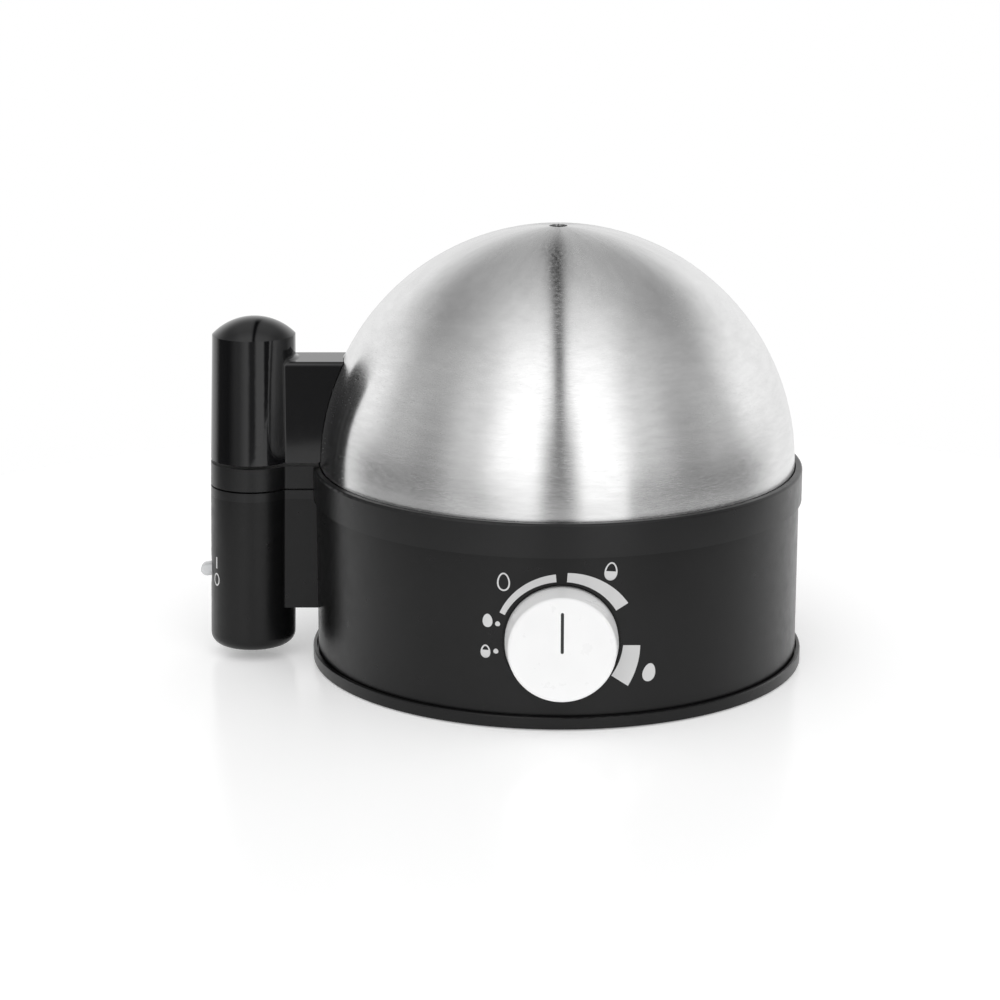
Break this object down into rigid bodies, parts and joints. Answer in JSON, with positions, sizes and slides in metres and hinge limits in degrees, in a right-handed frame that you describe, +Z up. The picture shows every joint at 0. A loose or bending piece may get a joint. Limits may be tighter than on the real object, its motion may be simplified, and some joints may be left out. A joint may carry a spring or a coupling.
{
  "type": "egg cooker",
  "caption": "Round electric egg cooker with a brushed steel dome lid on a black base, a front control knob, and a stacked post handle for lid, tray and base.",
  "frame": {"origin": "on the dome's axis at the plane of the foot's rest face", "axes": "+Z up along the dome's axis, -Y towards the control knob, -X towards the handle"},
  "size_m": [0.2059, 0.1751, 0.1483],
  "materials": {
    "housing_plastic": "satin black moulding",
    "collar_plastic": "satin black moulding, a little lighter",
    "gloss_handle": "polished black",
    "foot_rubber": "soft matt rubber",
    "seal_silicone": "red silicone",
    "pan_steel": "fine brushed stainless steel",
    "brushed_dome": "stainless steel brushed round its axis",
    "spreader_aluminium": "cast, dull",
    "element_sheath": "heat-darkened steel sheath",
    "white_ceramic": "white insulating beads",
    "zinc_steel": "zinc plated",
    "fuse_case": "lacquered can",
    "thermostat_moulding": "cream thermoset moulding",
    "terminal_brass": "bare brass",
    "switch_moulding": "black thermoset moulding",
    "lamp_glass": "small neon glow lamp",
    "gland_plastic": "black nylon",
    "block_plastic": "natural nylon",
    "buzzer_plastic": "black moulding",
    "wire_brown": "brown insulated wire",
    "wire_blue": "blue insulated wire",
    "knob_white": "white, softly polished",
    "pointer_black": "black filled line",
    "lever_clear": "milky, lit from behind"
  },
  "bodies": {
    "base": {"base_housing": "housing_plastic", "base_plate": "housing_plastic", "foot_ring": "foot_rubber", "collar_ring": "collar_plastic", "tie_screws": "zinc_steel", "pan_seal": "seal_silicone", "heating_pan": "pan_steel", "heat_spreader": "spreader_aluminium", "heating_element": "element_sheath", "element_beads": "white_ceramic", "element_pins": "zinc_steel", "thermal_fuse": "fuse_case", "fuse_strap": "zinc_steel", "thermostat": "thermostat_moulding", "thermostat_blades": "terminal_brass", "thermostat_bracket": "zinc_steel", "bracket_screws": "zinc_steel", "bush_nut": "terminal_brass", "switch_body": "switch_moulding", "switch_blades": "terminal_brass", "lever_pin": "zinc_steel", "indicator_lamp": "lamp_glass", "cord_gland": "gland_plastic", "terminal_block": "block_plastic", "terminal_screws": "zinc_steel", "buzzer": "buzzer_plastic", "wire_block_to_switch": "wire_brown", "wire_switch_to_thermostat": "wire_blue", "wire_thermostat_to_element": "wire_brown", "wire_element_to_fuse": "wire_blue", "wire_fuse_to_block": "wire_blue"},
    "knob": {"knob": "knob_white", "knob_pointer": "pointer_black", "knob_shaft": "zinc_steel", "knob_clip": "zinc_steel"},
    "lever": {"switch_lever": "lever_clear"},
    "tray": {"egg_tray": "collar_plastic"},
    "lid": {"dome": "brushed_dome", "lid_handle": "gloss_handle", "lid_handle_plug": "gloss_handle", "lid_clamp_plate": "zinc_steel", "lid_screws": "zinc_steel"}
  },
  "joints": [
    {"name": "knob_turn", "type": "hinge", "parent": "base", "child": "knob", "pos_m": [0, -0.08, 0.029], "axis": [0, 1, 0], "range_deg": [-105, 130]},
    {"name": "switch_toggle", "type": "hinge", "parent": "base", "child": "lever", "pos_m": [-0.109, 0, 0.0312], "axis": [0, 1, 0], "range_deg": [0, 16]},
    {"name": "tray_lift", "type": "slide", "parent": "base", "child": "tray", "axis": [0, 0, 1], "range_m": [0, 0.06]},
    {"name": "lid_lift", "type": "slide", "parent": "tray", "child": "lid", "axis": [0, 0, 1], "range_m": [0, 0.1]}
  ]
}
